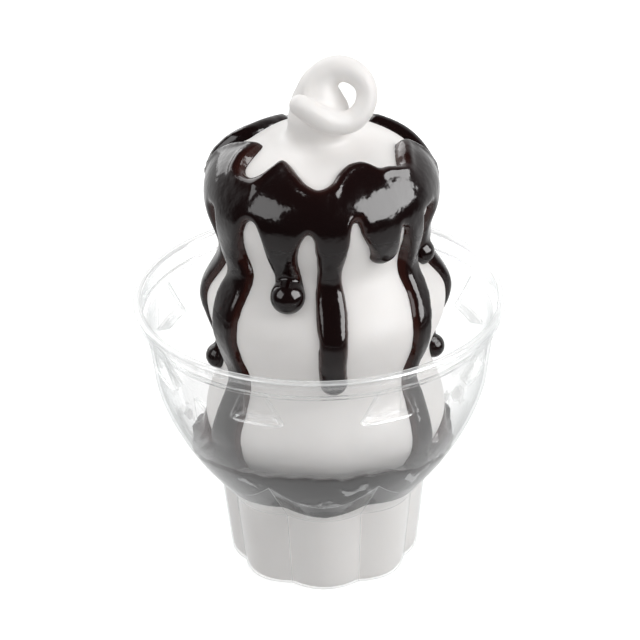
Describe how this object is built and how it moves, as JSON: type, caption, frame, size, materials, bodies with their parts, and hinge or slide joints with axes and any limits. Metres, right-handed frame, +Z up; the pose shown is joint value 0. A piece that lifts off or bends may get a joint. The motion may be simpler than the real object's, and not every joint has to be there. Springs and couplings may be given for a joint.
{
  "type": "hot fudge sundae",
  "caption": "Soft serve ice cream with a curled tip and poured hot fudge, standing in a clear plastic cup with a fluted foot and a round bowl.",
  "frame": {"origin": "middle of the cup's foot, on the surface that it stands on", "axes": "+Z up along the cup's axis, -Y towards the front, +X to the right of someone facing the front"},
  "size_m": [0.092, 0.092, 0.1351],
  "materials": {
    "cup": "clear thermoformed plastic",
    "ice_cream": "smooth white soft serve",
    "hot_fudge": "glossy poured hot fudge"
  },
  "bodies": {
    "root": {"cup": "cup", "ice_cream": "ice_cream", "fudge_coat": "hot_fudge", "fudge_pool": "hot_fudge"}
  },
  "joints": []
}
